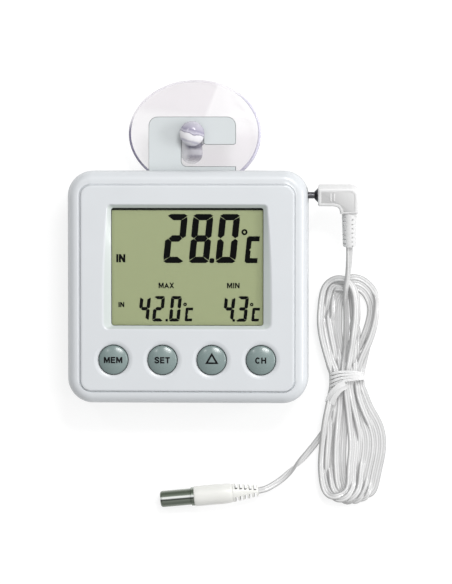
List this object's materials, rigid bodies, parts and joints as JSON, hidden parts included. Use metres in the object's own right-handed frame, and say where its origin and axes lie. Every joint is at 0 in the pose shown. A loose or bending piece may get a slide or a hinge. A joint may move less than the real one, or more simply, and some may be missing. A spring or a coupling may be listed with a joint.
{
  "type": "maximum minimum thermometer",
  "caption": "Flat square case with a segment display, four round buttons, an L-slotted hanger with a clear suction cup, and a steel-tipped probe on a tied white lead with an angled jack plug.",
  "frame": {"origin": "middle of the case's outline, on its back face, which rests on the surface", "axes": "+Z out of the display, +Y towards the hanger, +X towards the jack"},
  "size_m": [0.119, 0.1623, 0.0253],
  "materials": {
    "case_white": "semi-gloss moulded ABS",
    "hanger_grey": "satin moulded ABS",
    "window_clear": "clear polished acrylic",
    "lcd_glass": "green-grey reflective display",
    "inner_plastic": "moulded",
    "dark_rubber": "matt",
    "board_green": "solder mask",
    "black_resin": "cast resin",
    "bright_metal": "nickel plated",
    "black_plastic": "moulded",
    "screw_steel": "zinc plated",
    "battery_wrap": "printed-free sleeve over steel",
    "wire_red": "PVC insulation",
    "button_grey": "glossy moulded",
    "cup_clear": "clear soft PVC",
    "plug_white": "moulded soft PVC",
    "dark_metal": "dark nickel",
    "pin_metal": "nickel plated",
    "cord_white": "translucent white PVC",
    "tie_white": "plastic-covered wire",
    "probe_white": "moulded soft PVC",
    "probe_steel": "polished stainless steel"
  },
  "bodies": {
    "case": {"front_cover": "case_white", "rear_cover": "case_white", "hanger_plate": "hanger_grey", "window_lens": "window_clear", "lcd_panel": "lcd_glass", "lcd_holder": "inner_plastic", "zebra_strip": "dark_rubber", "circuit_board": "board_green", "chip_blob": "black_resin", "quartz_crystal": "bright_metal", "board_components": "black_resin", "air_sensor": "black_resin", "key_switches": "black_resin", "jack_socket": "black_plastic", "board_screws": "screw_steel", "case_screws": "screw_steel", "battery": "battery_wrap", "positive_contact": "bright_metal", "negative_contact": "bright_metal", "negative_spring": "bright_metal", "battery_wires": "wire_red"},
    "button_mem_body": {"button_mem": "button_grey"},
    "button_set_body": {"button_set": "button_grey"},
    "button_up_body": {"button_up": "button_grey"},
    "button_channel_body": {"button_channel": "button_grey"},
    "door": {"battery_door": "case_white"},
    "cup": {"suction_cup": "cup_clear"},
    "probe_lead": {"plug_body": "plug_white", "plug_collar": "dark_metal", "plug_sleeve": "pin_metal", "plug_insulator": "black_plastic", "plug_tip": "pin_metal", "plug_relief": "plug_white", "cord_lead": "cord_white", "cord_hank": "cord_white", "cord_tie": "tie_white", "cord_tail": "cord_white", "probe_relief": "probe_white", "probe_sleeve": "probe_white", "probe_cap": "probe_steel", "probe_bead": "black_resin"}
  },
  "joints": [
    {"name": "mem_press", "type": "slide", "parent": "case", "child": "button_mem_body", "axis": [0, 0, -1], "range_m": [0, 0.0008], "stiffness_N_per_m": 900},
    {"name": "set_press", "type": "slide", "parent": "case", "child": "button_set_body", "axis": [0, 0, -1], "range_m": [0, 0.0008], "stiffness_N_per_m": 900},
    {"name": "up_press", "type": "slide", "parent": "case", "child": "button_up_body", "axis": [0, 0, -1], "range_m": [0, 0.0008], "stiffness_N_per_m": 900},
    {"name": "channel_press", "type": "slide", "parent": "case", "child": "button_channel_body", "axis": [0, 0, -1], "range_m": [0, 0.0008], "stiffness_N_per_m": 900},
    {"name": "door_slide", "type": "slide", "parent": "case", "child": "door", "axis": [0, -1, 0], "range_m": [0, 0.022]},
    {"name": "cup_slide", "type": "slide", "parent": "case", "child": "cup", "axis": [0, -1, 0], "range_m": [0, 0.008]},
    {"name": "plug_pull", "type": "slide", "parent": "case", "child": "probe_lead", "axis": [1, 0, 0], "range_m": [0, 0.012]}
  ]
}
